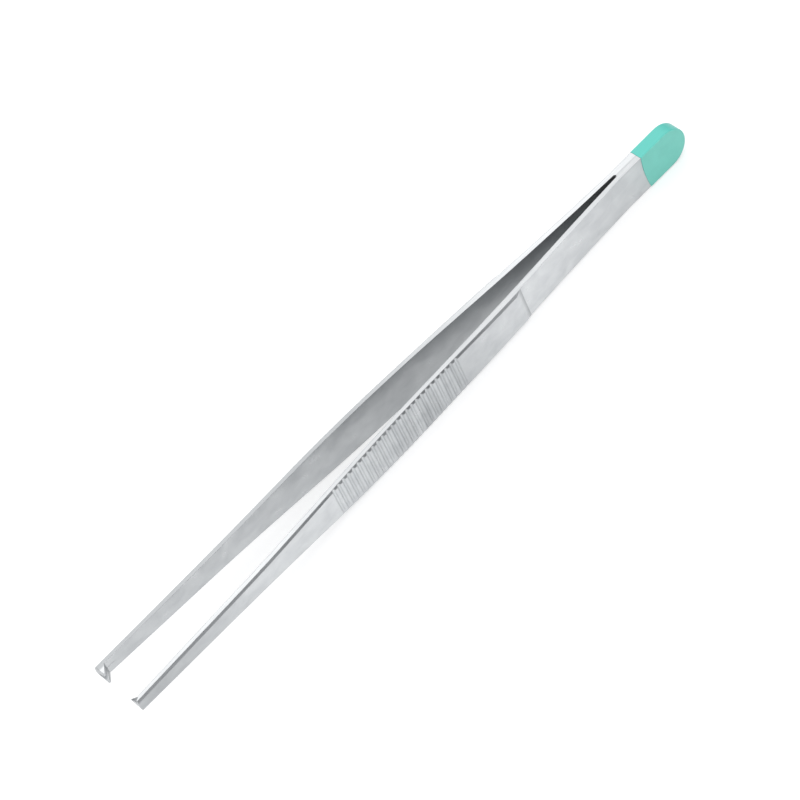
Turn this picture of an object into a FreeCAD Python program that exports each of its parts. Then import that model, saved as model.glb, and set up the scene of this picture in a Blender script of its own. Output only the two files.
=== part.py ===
import FreeCAD, Part
import os

from FreeCAD import Vector

# Thumb forceps with one-into-two teeth, lying on the side edges of the arms.
# Two stamped steel arms are welded flat to flat at the heel, and the heel is dipped in a green coating.
# All lengths are in millimetres. While a piece is drawn, X is the distance from the tips, Y is the
# spread of the arms and Z is their width, both measured from the middle of the forceps.

# Lengths of the stretches of an arm, in order from the tips to the heel
BLADE_LENGTH = 20.0
FLARE_LENGTH = 30.0
GROOVE_PITCH = 1.3
GROOVE_COUNT = 26
LAND_LENGTH = 15.75
RAMP_LENGTH = 1.5
SPRING_LENGTH = 28.3
PAD_LENGTH = 5.35
COATED_LENGTH = 10.3

# Width of an arm at the ends and middles of those stretches
TIP_WIDTH = 3.15
BLADE_WIDTH = 4.3
FLARE_WIDTH = 5.45
GRIP_START_WIDTH = 7.4
GRIP_WIDTH = 8.8
GRIP_END_WIDTH = 8.55
STEP_WIDTH = 7.95
WAIST_WIDTH = 8.0
HEEL_WIDTH = 8.3

# Open gap between the inner faces of the arms at the same places
TIP_GAP = 10.25
BLADE_GAP = 9.3
FLARE_GAP = 8.7
GRIP_START_GAP = 8.05
GRIP_GAP = 6.9
GRIP_END_GAP = 5.5
STEP_GAP = 3.7
ROOT_GAP = 0.68

# Thickness of an arm, and the bevel along the outer edges of the blade and the grip
TIP_THICKNESS = 0.95
BLADE_THICKNESS = 1.1
GRIP_THICKNESS = 1.12
GRIP_END_THICKNESS = 1.22
STEP_THICKNESS = 1.55
SPRING_THICKNESS = 1.05
ROOT_THICKNESS = 0.94
BLADE_BEVEL_DEPTH = 0.3
BLADE_BEVEL_WIDTH = 0.55
GRIP_BEVEL_DEPTH = 0.33
GRIP_BEVEL_WIDTH = 0.4
STEP_BEVEL_DEPTH = 0.46
BEVEL_SECTION_COUNT = 24

# Cross grooves of the finger grip
GROOVE_MOUTH = 0.8
GROOVE_FLOOR = 0.3
GROOVE_DEPTH = 0.27

# Teeth: two on one arm with a notch between them, and one on the other that enters the notch
TOOTH_HEIGHT = 1.65
TOOTH_ROOT = 1.75
TOOTH_POINT = 0.12
TOOTH_CREST = 0.5
NOTCH_MOUTH = 1.7
NOTCH_RELIEF = 0.35
NOTCH_RUN_OUT = 3.1
TOOTH_CLEARANCE = 0.1
RECESS_DEPTH = 0.55
RECESS_LENGTH = 1.2
TIP_BULGE = 0.2

# Dipped coating on the heel
COAT_THICKNESS = 0.1
COAT_EDGE_RADIUS = 0.2
COAT_SAG = 0.35

# How far a cutting shape stands past what it cuts, and the same for the bevels as a share of them
OVERSHOOT = 1.0
BEVEL_OVERSHOOT = 0.5

# Distances from the tips, worked out from the stretches
GRIP_LENGTH = GROOVE_PITCH * GROOVE_COUNT
GRIP_START = BLADE_LENGTH + FLARE_LENGTH
GRIP_END = GRIP_START + GRIP_LENGTH
STEP_START = GRIP_END + LAND_LENGTH
STEP_END = STEP_START + RAMP_LENGTH
SLOT_ROOT = STEP_END + SPRING_LENGTH
COAT_START = SLOT_ROOT + PAD_LENGTH
OVERALL_LENGTH = COAT_START + COATED_LENGTH
HEEL_END = OVERALL_LENGTH - COAT_THICKNESS
HEEL_CENTRE = HEEL_END - HEEL_WIDTH / 2
FLARE_MIDDLE = BLADE_LENGTH + FLARE_LENGTH / 2
GRIP_MIDDLE = GRIP_START + GRIP_LENGTH / 2
SPRING_MIDDLE = STEP_END + SPRING_LENGTH / 2
SLOT_ROOT_RADIUS = ROOT_GAP / 2
PAD_THICKNESS = ROOT_GAP / 2 + ROOT_THICKNESS


def smooth_curve(places):
    """A smooth curve over X through (distance from the tips, full size) pairs, at half of each size.
    Its parameter is the distance from the tips."""
    curve = Part.BSplineCurve()
    curve.interpolate(
        Points=[Vector(distance, size / 2, 0) for distance, size in places],
        Parameters=[distance for distance, size in places],
    )
    return curve


INNER_FACE = smooth_curve([
    (0, TIP_GAP),
    (BLADE_LENGTH, BLADE_GAP),
    (FLARE_MIDDLE, FLARE_GAP),
    (GRIP_START, GRIP_START_GAP),
    (GRIP_MIDDLE, GRIP_GAP),
    (GRIP_END, GRIP_END_GAP),
    (STEP_START, STEP_GAP),
    (SLOT_ROOT - SLOT_ROOT_RADIUS, ROOT_GAP),
])

OUTER_FACE = smooth_curve([
    (0, TIP_GAP + 2 * TIP_THICKNESS),
    (BLADE_LENGTH, BLADE_GAP + 2 * BLADE_THICKNESS),
    (GRIP_START, GRIP_START_GAP + 2 * GRIP_THICKNESS),
    (GRIP_MIDDLE, GRIP_GAP + 2 * GRIP_THICKNESS),
    (GRIP_END, GRIP_END_GAP + 2 * GRIP_END_THICKNESS),
    (STEP_START, STEP_GAP + 2 * STEP_THICKNESS),
    (STEP_END, 2 * INNER_FACE.value(STEP_END).y + 2 * STEP_THICKNESS),
])

SPRING_FACE = smooth_curve([
    (STEP_END, 2 * INNER_FACE.value(STEP_END).y + 2 * SPRING_THICKNESS),
    (SPRING_MIDDLE, 2 * INNER_FACE.value(SPRING_MIDDLE).y + SPRING_THICKNESS + ROOT_THICKNESS),
    (SLOT_ROOT - SLOT_ROOT_RADIUS, 2 * PAD_THICKNESS),
])

SIDE_EDGE = smooth_curve([
    (0, TIP_WIDTH),
    (BLADE_LENGTH, BLADE_WIDTH),
    (FLARE_MIDDLE, FLARE_WIDTH),
    (GRIP_START, GRIP_START_WIDTH),
    (GRIP_MIDDLE, GRIP_WIDTH),
    (GRIP_END, GRIP_END_WIDTH),
    (STEP_START, STEP_WIDTH),
    (SPRING_MIDDLE, WAIST_WIDTH),
    (HEEL_CENTRE, HEEL_WIDTH),
])


def half_gap(distance):
    """Y of the arm's inner face."""
    return INNER_FACE.value(max(distance, 0)).y


def half_spread(distance):
    """Y of the arm's outer face, from the tip to the step, and of its run on over the ramp."""
    return OUTER_FACE.value(max(distance, 0)).y


def half_width(distance):
    """Z of the arm's upper side edge."""
    return SIDE_EDGE.value(max(distance, 0)).y


def line(start, end):
    return Part.LineSegment(start, end).toShape()


def prism(points, direction):
    """A solid with the flat outline given by its corners, pulled along a direction."""
    return Part.Face(Part.makePolygon(points + points[:1])).extrude(direction)


def plan_solid():
    """The arm seen from above: bowed blade, step, spring, slot root and the flat pad at the heel."""
    root_start = SLOT_ROOT - SLOT_ROOT_RADIUS
    inner = INNER_FACE.toShape(0, root_start)
    root_bend = Part.Arc(
        Vector(root_start, SLOT_ROOT_RADIUS, 0),
        Vector(root_start + SLOT_ROOT_RADIUS / 2**0.5, SLOT_ROOT_RADIUS / 2**0.5, 0),
        Vector(SLOT_ROOT, 0, 0),
    ).toShape()
    spring = SPRING_FACE.toShape(STEP_END, root_start)
    blade = OUTER_FACE.toShape(0, STEP_START)
    heel_inner = Vector(HEEL_END, 0, 0)
    heel_outer = Vector(HEEL_END, PAD_THICKNESS, 0)
    ramp_top = Vector(STEP_START, half_spread(STEP_START), 0)
    ramp_foot = SPRING_FACE.value(STEP_END)
    outline = Part.Wire([
        inner,
        root_bend,
        line(Vector(SLOT_ROOT, 0, 0), heel_inner),
        line(heel_inner, heel_outer),
        line(heel_outer, Vector(root_start, PAD_THICKNESS, 0)),
        spring,
        line(ramp_foot, ramp_top),
        blade,
        line(Vector(0, half_spread(0), 0), Vector(0, half_gap(0), 0)),
    ])
    solid = Part.Face(outline).extrude(Vector(0, 0, 2 * GRIP_WIDTH))
    solid.translate(Vector(0, 0, -GRIP_WIDTH))
    return solid


def side_outline(start, grow):
    """The edge of the arm seen from the side, from a place near the tips round the heel and back.
    It is made larger all round by grow."""
    upper = SIDE_EDGE.toShape(start, HEEL_CENTRE)
    upper.rotate(Vector(0, 0, 0), Vector(1, 0, 0), 90)
    upper.translate(Vector(0, 0, grow))
    lower = upper.mirror(Vector(0, 0, 0), Vector(0, 0, 1))
    radius = HEEL_WIDTH / 2 + grow
    heel_bend = Part.Arc(
        Vector(HEEL_CENTRE, 0, radius),
        Vector(HEEL_CENTRE + radius, 0, 0),
        Vector(HEEL_CENTRE, 0, -radius),
    ).toShape()
    return [upper, heel_bend, lower]


def side_solid():
    """The arm seen from the side: slender tip with a rounded end, wide grip, waist and round heel."""
    corner = half_width(TIP_BULGE)
    tip_bend = Part.Arc(
        Vector(TIP_BULGE, 0, -corner),
        Vector(0, 0, 0),
        Vector(TIP_BULGE, 0, corner),
    ).toShape()
    outline = Part.Wire(side_outline(TIP_BULGE, 0) + [tip_bend])
    solid = Part.Face(outline).extrude(Vector(0, 2 * TIP_GAP, 0))
    solid.translate(Vector(0, -TIP_GAP, 0))
    return solid


def share_of_way(distance, start, end):
    return min(max((distance - start) / (end - start), 0), 1)


def bevel_size(distance):
    """Depth and width of the bevel: it changes along the flare, and deepens from the grip to the step."""
    flare = share_of_way(distance, FLARE_MIDDLE, GRIP_START)
    land = share_of_way(distance, GRIP_END, STEP_START)
    depth = BLADE_BEVEL_DEPTH + flare * (GRIP_BEVEL_DEPTH - BLADE_BEVEL_DEPTH)
    depth += land * (STEP_BEVEL_DEPTH - GRIP_BEVEL_DEPTH)
    width = BLADE_BEVEL_WIDTH + flare * (GRIP_BEVEL_WIDTH - BLADE_BEVEL_WIDTH)
    return depth, width


def bevel_cutter():
    """A long wedge that bevels the upper outer edge from the tip on, and runs out on the ramp."""
    spacing = STEP_END / BEVEL_SECTION_COUNT
    sections = []
    for distance in [-OVERSHOOT] + [spacing * index for index in range(BEVEL_SECTION_COUNT + 1)]:
        depth, width = bevel_size(distance)
        face = half_spread(distance)
        edge = half_width(distance)
        past_face = depth * BEVEL_OVERSHOOT
        past_edge = width * BEVEL_OVERSHOOT
        corner = Vector(distance, face + past_face, edge + past_edge)
        on_side = Vector(distance, face - depth - past_face, edge + past_edge)
        on_face = Vector(distance, face + past_face, edge - width - past_edge)
        sections.append(Part.makePolygon([corner, on_side, on_face, corner]))
    return Part.makeLoft(sections, True, False)


def groove_cutters():
    """One trapezoid bar across the outer face for each groove of the finger grip."""
    bars = []
    flank = (GROOVE_MOUTH - GROOVE_FLOOR) / 2
    wide = GROOVE_MOUTH / 2 + flank * OVERSHOOT / GROOVE_DEPTH
    for index in range(GROOVE_COUNT):
        middle = GRIP_START + GROOVE_PITCH * (index + 0.5)
        face = half_spread(middle)
        profile = [
            Vector(middle - wide, face + OVERSHOOT, -GRIP_WIDTH),
            Vector(middle - GROOVE_FLOOR / 2, face - GROOVE_DEPTH, -GRIP_WIDTH),
            Vector(middle + GROOVE_FLOOR / 2, face - GROOVE_DEPTH, -GRIP_WIDTH),
            Vector(middle + wide, face + OVERSHOOT, -GRIP_WIDTH),
        ]
        bars.append(prism(profile, Vector(0, 0, 2 * GRIP_WIDTH)))
    return bars


def plain_arm():
    """An arm with everything but its teeth, on the +Y side."""
    bevel = bevel_cutter()
    arm = plan_solid().common(side_solid())
    arm = arm.cut([bevel, bevel.mirror(Vector(0, 0, 0), Vector(0, 0, 1))])
    return arm.cut(groove_cutters())


def tooth_bar(crest):
    """The hooked edge that both kinds of tooth are cut from: flush with the tip and sloping back.
    crest is its length along the arm at the top."""
    face = TIP_GAP / 2
    buried = face + TIP_THICKNESS / 2
    profile = [
        Vector(0, buried, -TIP_WIDTH),
        Vector(0, face - TOOTH_HEIGHT, -TIP_WIDTH),
        Vector(crest, face - TOOTH_HEIGHT, -TIP_WIDTH),
        Vector(TOOTH_ROOT, half_gap(TOOTH_ROOT), -TIP_WIDTH),
        Vector(TOOTH_ROOT, buried, -TIP_WIDTH),
    ]
    return prism(profile, Vector(0, 0, 2 * TIP_WIDTH)).common(side_solid())


def notch_half_width(height):
    """Half width of the notch between the two teeth, at a height above the inner face."""
    return NOTCH_MOUTH / 2 * (height + NOTCH_RELIEF) / (TOOTH_HEIGHT + NOTCH_RELIEF)


def notch_cutter():
    """A V bar that parts the two teeth and runs out along the inner face behind them."""
    face = TIP_GAP / 2
    above = TOOTH_HEIGHT + OVERSHOOT
    slope = NOTCH_RELIEF / NOTCH_RUN_OUT
    profile = [
        Vector(-OVERSHOOT, face + NOTCH_RELIEF + OVERSHOOT * slope, 0),
        Vector(-OVERSHOOT, face - above, notch_half_width(above)),
        Vector(-OVERSHOOT, face - above, -notch_half_width(above)),
    ]
    run = NOTCH_RUN_OUT + 2 * OVERSHOOT
    return prism(profile, Vector(run, -run * slope, 0))


def single_tooth_wedge():
    """A pointed bar along the tip: its flanks lie inside those of the notch by the clearance."""
    face = TIP_GAP / 2
    root = notch_half_width(TOOTH_HEIGHT) - TOOTH_CLEARANCE
    flare = root * (TOOTH_HEIGHT + TIP_THICKNESS) / TOOTH_HEIGHT
    point = TOOTH_POINT / 2
    profile = [
        Vector(-OVERSHOOT, face - TOOTH_HEIGHT, point),
        Vector(-OVERSHOOT, face + TIP_THICKNESS, flare),
        Vector(-OVERSHOOT, face + TIP_THICKNESS, -flare),
        Vector(-OVERSHOOT, face - TOOTH_HEIGHT, -point),
    ]
    return prism(profile, Vector(OVERSHOOT + TOOTH_ROOT + RECESS_LENGTH, 0, 0))


def recess_cutter():
    """Clears the inner corners of the tip, so that the two teeth can pass beside the single one."""
    face = TIP_GAP / 2
    slope = RECESS_DEPTH / RECESS_LENGTH
    profile = [
        Vector(-OVERSHOOT, face + RECESS_DEPTH + OVERSHOOT * slope, -TIP_WIDTH),
        Vector(-OVERSHOOT, face - OVERSHOOT * slope, -TIP_WIDTH),
        Vector(RECESS_LENGTH + OVERSHOOT, face - OVERSHOOT * slope, -TIP_WIDTH),
    ]
    return prism(profile, Vector(0, 0, 2 * TIP_WIDTH)).cut(single_tooth_wedge())


def double_tooth_arm():
    return plain_arm().fuse(tooth_bar(TOOTH_CREST)).cut(notch_cutter()).removeSplitter()


def single_tooth_arm():
    tooth = tooth_bar(TOOTH_POINT).common(single_tooth_wedge())
    arm = plain_arm().cut(recess_cutter()).fuse(tooth).removeSplitter()
    return arm.mirror(Vector(0, 0, 0), Vector(0, 1, 0))


def heel_coating(arms):
    """A thin skin over the end of both arms, open towards the slot, with softly rounded edges.
    Its mouth bows towards the tips on the flats, where the dip ran furthest."""
    upper, heel_bend, lower = side_outline(COAT_START, COAT_THICKNESS)
    edge = half_width(COAT_START) + COAT_THICKNESS
    mouth = Part.Arc(
        Vector(COAT_START, 0, -edge),
        Vector(COAT_START - COAT_SAG, 0, 0),
        Vector(COAT_START, 0, edge),
    ).toShape()
    reach = PAD_THICKNESS + COAT_THICKNESS
    skin = Part.Face(Part.Wire([upper, heel_bend, lower, mouth])).extrude(Vector(0, 2 * reach, 0))
    skin.translate(Vector(0, -reach, 0))
    rims = [
        rim for rim in skin.Edges
        if abs(rim.CenterOfMass.y) > PAD_THICKNESS and rim.CenterOfMass.x > COAT_START + COAT_THICKNESS
    ]
    return skin.makeFillet(COAT_EDGE_RADIUS, rims).cut(arms)


def main():
    os.makedirs("parts", exist_ok=True)
    double = double_tooth_arm()
    single = single_tooth_arm()
    pieces = {
        "double_tooth_arm": double,
        "single_tooth_arm": single,
        "green_heel_coating": heel_coating([double, single]),
    }
    # The middle of the length goes to the origin, and the widest side edges down to the ground.
    lowest = min(shape.optimalBoundingBox(False).ZMin for shape in pieces.values())
    for name, shape in pieces.items():
        shape.translate(Vector(-OVERALL_LENGTH / 2, 0, -lowest))
        shape.exportStep(f"parts/{name}.step")


main()
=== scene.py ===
import math

import bpy
from mathutils import Matrix, Vector

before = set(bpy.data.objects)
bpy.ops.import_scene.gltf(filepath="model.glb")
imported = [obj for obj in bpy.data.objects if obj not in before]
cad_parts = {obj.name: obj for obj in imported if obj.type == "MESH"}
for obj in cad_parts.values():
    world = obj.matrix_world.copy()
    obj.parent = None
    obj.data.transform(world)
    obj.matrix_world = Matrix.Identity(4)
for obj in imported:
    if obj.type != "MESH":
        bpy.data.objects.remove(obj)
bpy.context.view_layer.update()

# Camera, measured on the photograph: angles in degrees, lengths in metres unless the name says otherwise
CAMERA_AZIMUTH = -22.84
CAMERA_ELEVATION = 50.97
CAMERA_ROLL = 26.73
CAMERA_DISTANCE = 0.6997
CAMERA_AIM = Vector((-0.00031, 0.00097, 0.00507))
CAMERA_LENS_MM = 177.1
CAMERA_NEAR_CLIP = 0.01
SENSOR_WIDTH_MM = 36.0

# Steel: colours, how dull each place is or how much painted shade it has, from 0 to 1, and how rough it is
STEEL_COLOUR = (0.69, 0.705, 0.715)
STEEL_SHADE = (0.6, 0.615, 0.63)
DULL_COLOUR = (0.272, 0.285, 0.295)
# Painted shade on the inner face: its amount tipward and at the heel
INNER_PAINTED_SHADE = (0.26, 0.5)
TIP_DULLNESS = 0.5
# Painted shade on the bevels
BEVEL_PAINTED_SHADE = 0.6
GRIP_DULLNESS = 0.33
GRIP_WEAR = (0.55, 1.45)
# Painted shade at the foot of the step's ramp and on the far tooth's rear face
RAMP_FOOT_PAINTED_SHADE = 0.6
TOOTH_REAR_PAINTED_SHADE = 0.85
HEEL_DULLNESS = 0.33
STEEL_ROUGHNESS = (0.27, 0.4)
EDGE_ROUGHNESS = 0.22
EDGE_RADIUS = 0.00014
EDGE_SAMPLES = 6

# Coating
MINT_COLOUR = (0.258, 0.84, 0.72)
MINT_SHADE = (0.228, 0.78, 0.665)
# Painted shade on the coating's side edges
MINT_EDGE_PAINTED_SHADE = (0.118, 0.608, 0.53)
MINT_ROUGHNESS = (0.3, 0.42)
MINT_IOR = 1.47

# Noise: features to a metre, and how deep they stand as bumps, in metres
CLOUD_SCALE = 420.0
BRUSHING_SCALE = 5200.0
RIDGE_SCALE = 900.0
GRAIN_SCALE = 9000.0
WAVE_SCALE = 350.0
PEEL_SCALE = 2600.0
CLOUD_DEPTH = 0.00003
BRUSHING_DEPTH = 0.000012
GRAIN_DEPTH = 0.000006
WAVE_DEPTH = 0.00004
PEEL_DEPTH = 0.000008
NOISE_MIDDLE = (0.3, 0.7)

# How far a face's normal has to lean along an axis: the start and end of the change
SQUARE_TO_AXIS = (0.85, 0.97)
LEANING_UP = (0.3, 0.42)
LEANING_HEELWARD = (0.2, 0.28)
OFF_THE_FLAT = (0.9, 0.5)

# Where a highlight is painted on the far teeth's upper side, by lifting the side edges' painted shade
# there: inward of these distances from the middle plane, and tipward of these places along X
TOOTH_CREST_SIDE = (0.0045, 0.0051)
TOOTH_REAR = (-0.0709, -0.0703)

# Stretches of X over which the steel's finish and its painted shade change
INWARD_HEELWARD = (-0.035, 0.0)
INTO_SLOT = (0.035, 0.055)
TIPWARD = (-0.04, -0.065)
INTO_GRIP = (-0.0235, 0.0)
LAST_GROOVE = (0.0105, 0.0115)
OUT_OF_GRIP = (0.0085, 0.03)
BEVEL_END = (0.011, 0.027)
RAMP_FOOT = (0.0276, 0.0284)
TO_COATING = (0.036, 0.064)

# Table, lamps and the room round them
FLOOR_SIZE = 6.0
FLOOR_COLOUR = (0.58, 0.585, 0.59)
FLOOR_GLOW = 0.53
ROOM_COLOUR = (0.3, 0.305, 0.315)
BACK_WALL_COLOUR = (0.85, 0.86, 0.87)
BACK_WALL_EDGE = (0.75, 0.95)
LAMP_COLOUR = (1.0, 0.995, 0.985)


class NodeSheet:
    """The node tree of a material or a world, with short calls for adding and joining nodes."""

    def __init__(self, owner):
        owner.use_nodes = True
        self.owner = owner
        self.tree = owner.node_tree
        self.tree.nodes.clear()

    def add(self, kind, inputs=None, **settings):
        node = self.tree.nodes.new(kind)
        for key, value in settings.items():
            setattr(node, key, value)
        for key, value in (inputs or {}).items():
            if isinstance(value, bpy.types.NodeSocket):
                self.tree.links.new(value, node.inputs[key])
            else:
                node.inputs[key].default_value = value
        return node

    def place(self):
        """The object's own coordinates, in metres."""
        return self.add("ShaderNodeTexCoord").outputs["Object"]

    def axes(self, vector):
        return self.add("ShaderNodeSeparateXYZ", {0: vector}).outputs

    def noise(self, scale, detail, stretch=(1.0, 1.0, 1.0), distortion=0.0):
        """Noise over the object's own coordinates, with features about 1/scale long."""
        inputs = {"Vector": self.place(), "Scale": stretch}
        mapped = self.add("ShaderNodeMapping", inputs).outputs["Vector"]
        inputs = {"Vector": mapped, "Scale": scale, "Detail": detail, "Distortion": distortion}
        return self.add("ShaderNodeTexNoise", inputs).outputs["Fac"]

    def ramp(self, value, start, end, low=0.0, high=1.0):
        """Runs from low to high while the value runs from start to end, and stays there beyond."""
        inputs = {0: value, 1: start, 2: end, 3: low, 4: high}
        return self.add("ShaderNodeMapRange", inputs).outputs["Result"]

    def spread(self, noise, low, high):
        """A noise value, which stays near the middle, spread out to run from low to high."""
        return self.ramp(noise, *NOISE_MIDDLE, low, high)

    def math(self, operation, first, second):
        return self.add("ShaderNodeMath", {0: first, 1: second}, operation=operation).outputs["Value"]

    def absolute(self, value):
        return self.math("ABSOLUTE", value, 0.0)

    def mix(self, amount, first, second):
        """A number that goes from the first to the second as the amount goes from 0 to 1."""
        return self.add("ShaderNodeMix", {0: amount, 2: first, 3: second}).outputs[0]

    def blend(self, amount, first, second):
        """A colour that goes from the first to the second as the amount goes from 0 to 1."""
        inputs = {0: amount}
        for socket, colour in ((6, first), (7, second)):
            inputs[socket] = colour if isinstance(colour, bpy.types.NodeSocket) else (*colour, 1.0)
        return self.add("ShaderNodeMix", inputs, data_type="RGBA").outputs[2]

    def bump(self, height, distance, normal=None):
        inputs = {"Height": height, "Distance": distance, "Strength": 1.0}
        if normal:
            inputs["Normal"] = normal
        return self.add("ShaderNodeBump", inputs).outputs["Normal"]

    def finish(self, surface, output="ShaderNodeOutputMaterial"):
        self.add(output, {"Surface": surface})
        return self.owner


def outer_dullness_and_shade(sheet, along, upright, heelward):
    """Dullness and painted shade of every face but the inner one and the side edges: dullness on the
    unevenly worn grip, the blasted tip and the stretch before the coating; painted shade on the bevels,
    the foot of the step's ramp and the teeth's rear."""
    ridges = sheet.noise(RIDGE_SCALE, 1.0, stretch=(1.0, 0.1, 0.1))
    wear = sheet.mix(sheet.ramp(along, *LAST_GROOVE), sheet.spread(ridges, *GRIP_WEAR), 1.0)
    grip = sheet.math("MULTIPLY", sheet.ramp(along, *INTO_GRIP), sheet.ramp(along, *OUT_OF_GRIP, 1.0, 0.0))
    dullness_and_painted_light = sheet.math("MULTIPLY", grip, sheet.math("MULTIPLY", wear, GRIP_DULLNESS))
    for stretch, amount in ((TIPWARD, TIP_DULLNESS), (TO_COATING, HEEL_DULLNESS)):
        dullness_and_painted_light = sheet.math("MAXIMUM", dullness_and_painted_light, sheet.ramp(along, *stretch, 0.0, amount))
    # Painted shade on the bevels, which face the darker room, and on the heelward facets: the step ramp's
    # foot and the teeth's rear
    bevel = sheet.ramp(upright, *LEANING_UP)
    rear = sheet.ramp(heelward, *LEANING_HEELWARD)
    for facet, stretch, start, end in (
        (bevel, BEVEL_END, BEVEL_PAINTED_SHADE, 0.0),
        (rear, RAMP_FOOT, 0.0, RAMP_FOOT_PAINTED_SHADE),
        (rear, TOOTH_REAR, TOOTH_REAR_PAINTED_SHADE, 0.0),
    ):
        amount = sheet.math("MULTIPLY", facet, sheet.ramp(along, *stretch, start, end))
        dullness_and_painted_light = sheet.math("MAXIMUM", dullness_and_painted_light, amount)
    return dullness_and_painted_light


def inner_painted_shade(sheet, along):
    """Painted shade on the inner face, darker towards the heel where the arms close in, but not in the
    slot's narrow end.
    """
    heelward = sheet.ramp(along, *INWARD_HEELWARD, *INNER_PAINTED_SHADE)
    return sheet.math("MULTIPLY", heelward, sheet.ramp(along, *INTO_SLOT, 1.0, 0.0))


def edge_dullness_and_painted_light(sheet, along, outward, stretch, amounts):
    """From the first amount to the second along the stretch of X, and none on the teeth's crest side,
    which leaves a painted highlight there.
    """
    # Painted highlight: the side edges' darkening is lifted on the teeth's crest side
    beyond_crest = sheet.ramp(outward, *TOOTH_CREST_SIDE)
    outside_painted_highlight = sheet.math("MAXIMUM", beyond_crest, sheet.ramp(along, *TOOTH_REAR))
    return sheet.math("MINIMUM", sheet.ramp(along, *stretch, *amounts), outside_painted_highlight)


def satin_steel(name, inward, edge_stretch, edge_amounts):
    """Satin stainless steel: cloudy patches, fine lengthwise brushing, a bead-blasted grain, side edges
    that were ground smoother than the faces, painted shade on the inner face, the bevels, the heelward
    facets and the far arm's side edges, and a painted highlight on the far teeth's crest side. inward is
    the Y direction of the inner face."""
    sheet = NodeSheet(bpy.data.materials.new(name))
    clouds = sheet.noise(CLOUD_SCALE, 3.0, stretch=(0.6, 1.0, 1.0), distortion=0.4)
    brushing = sheet.noise(BRUSHING_SCALE, 3.0, stretch=(0.03, 1.0, 1.0))
    grain = sheet.noise(GRAIN_SCALE, 2.0)

    facing = sheet.axes(sheet.add("ShaderNodeNewGeometry").outputs["Normal"])
    upright = sheet.absolute(facing["Z"])
    side_edge = sheet.ramp(upright, *SQUARE_TO_AXIS)
    inner_face = sheet.ramp(sheet.math("MULTIPLY", facing["Y"], inward), *SQUARE_TO_AXIS)
    place = sheet.axes(sheet.place())
    along = place["X"]
    outward = sheet.absolute(place["Y"])

    dullness_and_painted_light = sheet.mix(
        inner_face, outer_dullness_and_shade(sheet, along, upright, facing["X"]), inner_painted_shade(sheet, along)
    )
    edge = edge_dullness_and_painted_light(sheet, along, outward, edge_stretch, edge_amounts)
    dullness_and_painted_light = sheet.mix(side_edge, dullness_and_painted_light, edge)
    shade = sheet.mix(side_edge, sheet.spread(clouds, 0.0, 1.0), sheet.spread(brushing, 0.0, 1.0))
    # The colour darkens with the dullness and the painted shade, and stays bright at the painted highlight
    colour = sheet.blend(dullness_and_painted_light, sheet.blend(shade, STEEL_COLOUR, STEEL_SHADE), DULL_COLOUR)

    smoothing = sheet.math("MULTIPLY", side_edge, STEEL_ROUGHNESS[0] - EDGE_ROUGHNESS)
    roughness = sheet.math("SUBTRACT", sheet.spread(clouds, *STEEL_ROUGHNESS), smoothing)
    rounding = {"Radius": EDGE_RADIUS}
    normal = sheet.add("ShaderNodeBevel", rounding, samples=EDGE_SAMPLES).outputs["Normal"]
    normal = sheet.bump(brushing, BRUSHING_DEPTH, normal)
    normal = sheet.bump(grain, GRAIN_DEPTH, normal)
    normal = sheet.bump(clouds, CLOUD_DEPTH, normal)
    shader = sheet.add(
        "ShaderNodeBsdfPrincipled",
        {"Base Color": colour, "Metallic": 1.0, "Roughness": roughness, "Normal": normal},
    )
    return sheet.finish(shader.outputs["BSDF"])


def mint_coating():
    """Semi-gloss dipped coating: slight changes of shade, a darker painted shade on the side edges, and
    the soft waviness of a dried dip."""
    sheet = NodeSheet(bpy.data.materials.new("mint_coating"))
    waves = sheet.noise(WAVE_SCALE, 2.0, distortion=0.3)
    peel = sheet.noise(PEEL_SCALE, 2.0)
    colour = sheet.blend(sheet.spread(waves, 0.0, 1.0), MINT_COLOUR, MINT_SHADE)
    facing = sheet.axes(sheet.add("ShaderNodeNewGeometry").outputs["Normal"])
    # Painted shade: the side edges are coloured darker and deeper
    side_edge = sheet.ramp(sheet.absolute(facing["Y"]), *OFF_THE_FLAT)
    colour = sheet.blend(side_edge, colour, MINT_EDGE_PAINTED_SHADE)
    roughness = sheet.spread(peel, *MINT_ROUGHNESS)
    normal = sheet.bump(waves, WAVE_DEPTH)
    normal = sheet.bump(peel, PEEL_DEPTH, normal)
    shader = sheet.add(
        "ShaderNodeBsdfPrincipled",
        {"Base Color": colour, "Roughness": roughness, "Normal": normal, "IOR": MINT_IOR},
    )
    return sheet.finish(shader.outputs["BSDF"])


def table_material():
    """White table that keeps the forceps' shadow and shows as white to the camera and in the steel."""
    sheet = NodeSheet(bpy.data.materials.new("white_table"))
    diffuse = sheet.add("ShaderNodeBsdfDiffuse", {"Color": (*FLOOR_COLOUR, 1.0)}).outputs["BSDF"]
    path = sheet.add("ShaderNodeLightPath").outputs
    seen = sheet.math("MAXIMUM", path["Is Camera Ray"], path["Is Glossy Ray"])
    seen = sheet.math("MAXIMUM", seen, path["Is Transmission Ray"])
    glow = sheet.math("MULTIPLY", seen, FLOOR_GLOW)
    emission = sheet.add("ShaderNodeEmission", {"Strength": glow}).outputs["Emission"]
    return sheet.finish(sheet.add("ShaderNodeAddShader", {0: diffuse, 1: emission}).outputs["Shader"])


def add_table():
    half = FLOOR_SIZE / 2
    mesh = bpy.data.meshes.new("table")
    corners = [(-half, -half, 0.0), (half, -half, 0.0), (half, half, 0.0), (-half, half, 0.0)]
    mesh.from_pydata(corners, [], [(0, 1, 2, 3)])
    table = bpy.data.objects.new("table", mesh)
    table.data.materials.append(table_material())
    bpy.context.scene.collection.objects.link(table)


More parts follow.
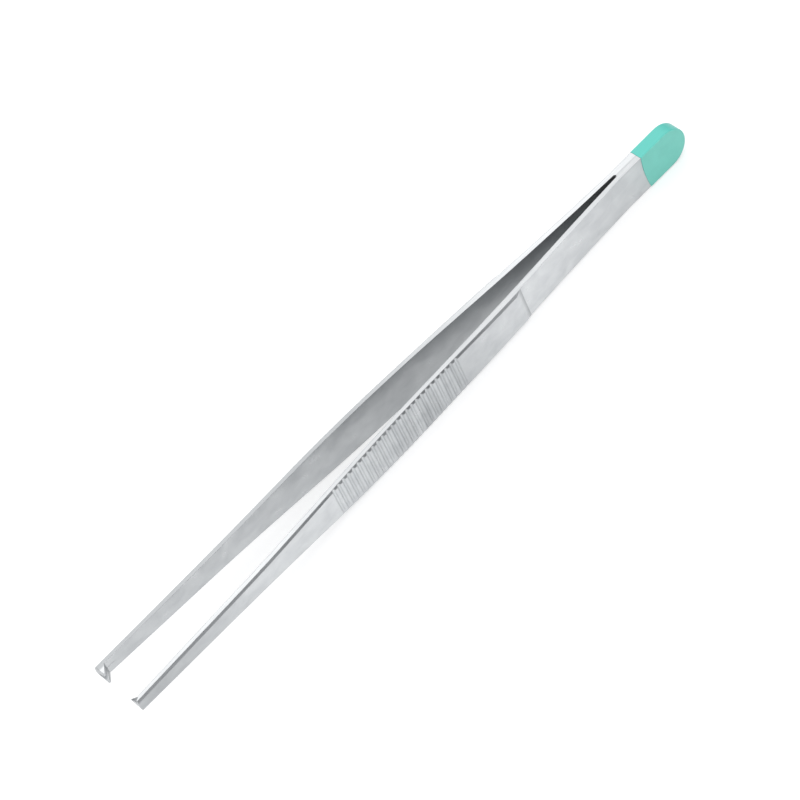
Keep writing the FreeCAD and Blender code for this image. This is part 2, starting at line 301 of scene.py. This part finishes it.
def add_room():
    """A grey room with a pale wall behind the forceps, which softly lights the teeth from that side."""
    sheet = NodeSheet(bpy.data.worlds.new("room"))
    direction = sheet.add("ShaderNodeTexCoord").outputs["Generated"]
    wall = sheet.ramp(sheet.axes(direction)["Y"], *BACK_WALL_EDGE)
    colour = sheet.blend(wall, ROOM_COLOUR, BACK_WALL_COLOUR)
    background = sheet.add("ShaderNodeBackground", {"Color": colour}).outputs["Background"]
    bpy.context.scene.world = sheet.finish(background, output="ShaderNodeOutputWorld")


def add_softbox(name, direction, distance, size, watts):
    """A square soft lamp that lies in a direction from the forceps and faces them."""
    lamp = bpy.data.lights.new(name, "AREA")
    lamp.size = size
    lamp.energy = watts
    lamp.color = LAMP_COLOUR
    softbox = bpy.data.objects.new(name, lamp)
    away = Vector(direction).normalized()
    softbox.location = away * distance
    softbox.rotation_euler = away.to_track_quat("Z", "Y").to_euler()
    bpy.context.scene.collection.objects.link(softbox)


def add_camera():
    azimuth, elevation, roll = map(math.radians, (CAMERA_AZIMUTH, CAMERA_ELEVATION, CAMERA_ROLL))
    data = bpy.data.cameras.new("camera")
    data.sensor_width = SENSOR_WIDTH_MM
    data.lens = CAMERA_LENS_MM
    data.clip_start = CAMERA_NEAR_CLIP
    camera = bpy.data.objects.new("camera", data)
    turn = Matrix.Rotation(azimuth, 4, "Z") @ Matrix.Rotation(math.pi / 2 - elevation, 4, "X")
    turn = turn @ Matrix.Rotation(-roll, 4, "Z")
    back = turn.to_3x3() @ Vector((0.0, 0.0, 1.0))
    camera.matrix_world = Matrix.Translation(CAMERA_AIM + back * CAMERA_DISTANCE) @ turn
    bpy.context.scene.collection.objects.link(camera)
    bpy.context.scene.camera = camera


def dress(node, material):
    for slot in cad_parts[node].material_slots:
        slot.material = material


dress(
    "single_tooth_arm",
    satin_steel("near_steel", inward=1.0, edge_stretch=(-0.035, -0.017), edge_amounts=(0.0, 0.26)),
)
# The far arm's side edges carry painted shade, full tipward of X = -0.01 m and gone by X = 0.032 m
dress(
    "double_tooth_arm",
    satin_steel("far_steel", inward=-1.0, edge_stretch=(-0.01, 0.032), edge_amounts=(0.62, 0.0)),
)
dress("green_heel_coating", mint_coating())

add_table()
add_room()
add_softbox("ceiling_softbox", direction=(0.12, 0.3, 0.95), distance=1.0, size=1.8, watts=12.0)
add_softbox("front_softbox", direction=(-0.35, -0.65, 0.67), distance=1.0, size=0.9, watts=4.0)
add_camera()
bpy.context.scene.view_settings.view_transform = "Standard"
